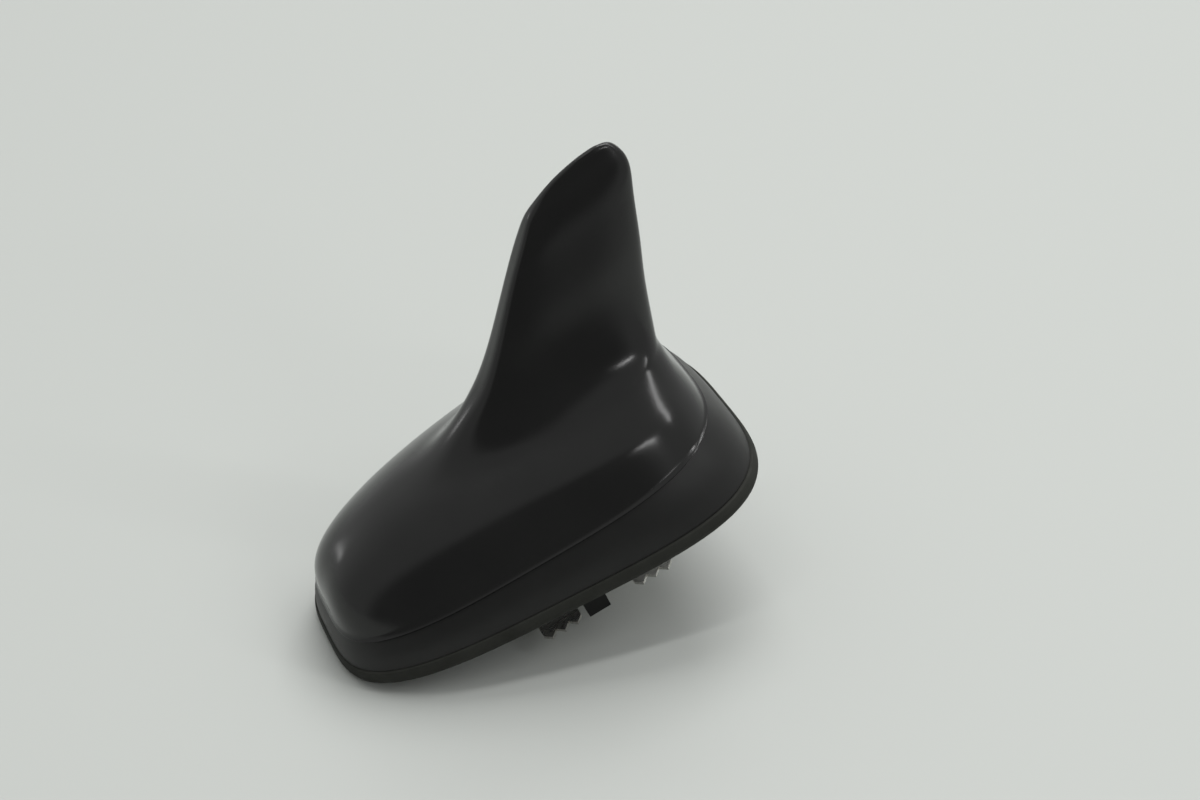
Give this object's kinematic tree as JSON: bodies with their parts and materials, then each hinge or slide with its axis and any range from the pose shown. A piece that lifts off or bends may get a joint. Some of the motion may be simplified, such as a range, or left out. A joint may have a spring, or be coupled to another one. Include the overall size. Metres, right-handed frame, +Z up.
{
  "type": "roof antenna",
  "caption": "Black roof antenna: a low domed cover that sweeps up into a raked fin, over a trim skirt, a rubber gasket and a clamp tower with spring claws that grip the roof.",
  "frame": {"origin": "on the outer skin of the roof, on the axis of the roof hole, at the gasket's bottom face", "axes": "+X to the nose of the antenna (front of the vehicle), +Y to its left, +Z up from the roof"},
  "size_m": [0.1064, 0.0656, 0.0966],
  "materials": {
    "cover_black": "satin gloss moulding",
    "skirt_black": "satin moulding",
    "gasket_rubber": "matte",
    "seal_rubber": "matte",
    "cast_metal": "die-cast, dull",
    "claw_steel": "bright spring steel",
    "bolt_steel": "zinc plated",
    "clip_black": "matte moulding",
    "screw_steel": "plated",
    "board_laminate": "solder mask",
    "copper": "satin",
    "header_black": "matte",
    "pin_gold": "plated",
    "patch_ceramic": "unglazed",
    "pad_foam": "matte",
    "can_tin": "tinned",
    "chip_black": "matte",
    "socket_grey": "matte"
  },
  "bodies": {
    "root": {"fin_cover": "cover_black", "base_skirt": "skirt_black", "roof_gasket": "gasket_rubber", "inner_seal": "seal_rubber", "chassis_plate": "cast_metal", "claw_plate": "claw_steel", "clamp_bolt": "bolt_steel", "snap_clips": "clip_black", "cover_screws": "screw_steel", "main_board": "board_laminate", "board_screws": "screw_steel", "fin_board": "board_laminate", "fin_radiator": "copper", "fin_header": "header_black", "header_pins": "pin_gold", "patch_pad": "pad_foam", "patch_antenna": "patch_ceramic", "patch_pin": "pin_gold", "shield_can": "can_tin", "signal_chips": "chip_black", "socket_housing": "socket_grey", "socket_shells": "pin_gold", "socket_contacts": "pin_gold"}
  },
  "joints": []
}
